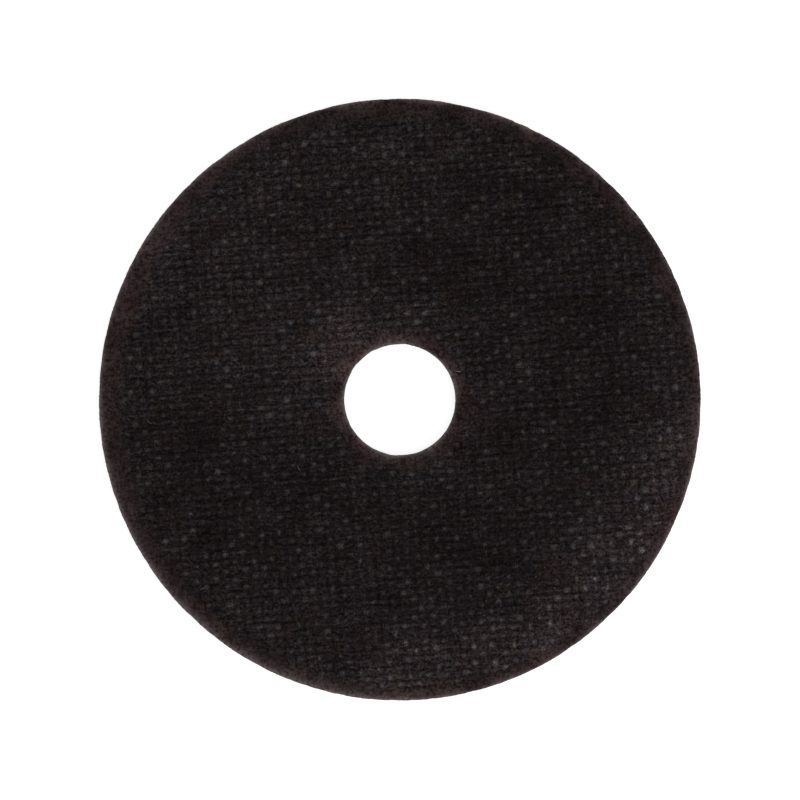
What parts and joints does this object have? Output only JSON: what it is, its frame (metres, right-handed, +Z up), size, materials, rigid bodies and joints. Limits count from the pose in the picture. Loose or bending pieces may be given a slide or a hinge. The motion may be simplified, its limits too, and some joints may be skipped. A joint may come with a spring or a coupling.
{
  "type": "abrasive grinding wheel",
  "caption": "Thin flat round abrasive wheel of resin-bonded grain faced with dark woven cloth, with a plain bore, for an angle grinder.",
  "frame": {"origin": "on the bore's axis, in the plane of the underside that the wheel lies on", "axes": "+Z up along the bore's axis, out of the face that the picture shows; +X to the right and +Y to the top of the picture, so the level threads run 4.1 degrees anticlockwise of +X"},
  "size_m": [0.125, 0.125, 0.0025],
  "materials": {
    "resin_bond": "nearly black brown resin-bonded grain and cloth, dull with small glints on the weave's knuckles"
  },
  "bodies": {
    "root": {"grinding_wheel": "resin_bond"}
  },
  "joints": []
}
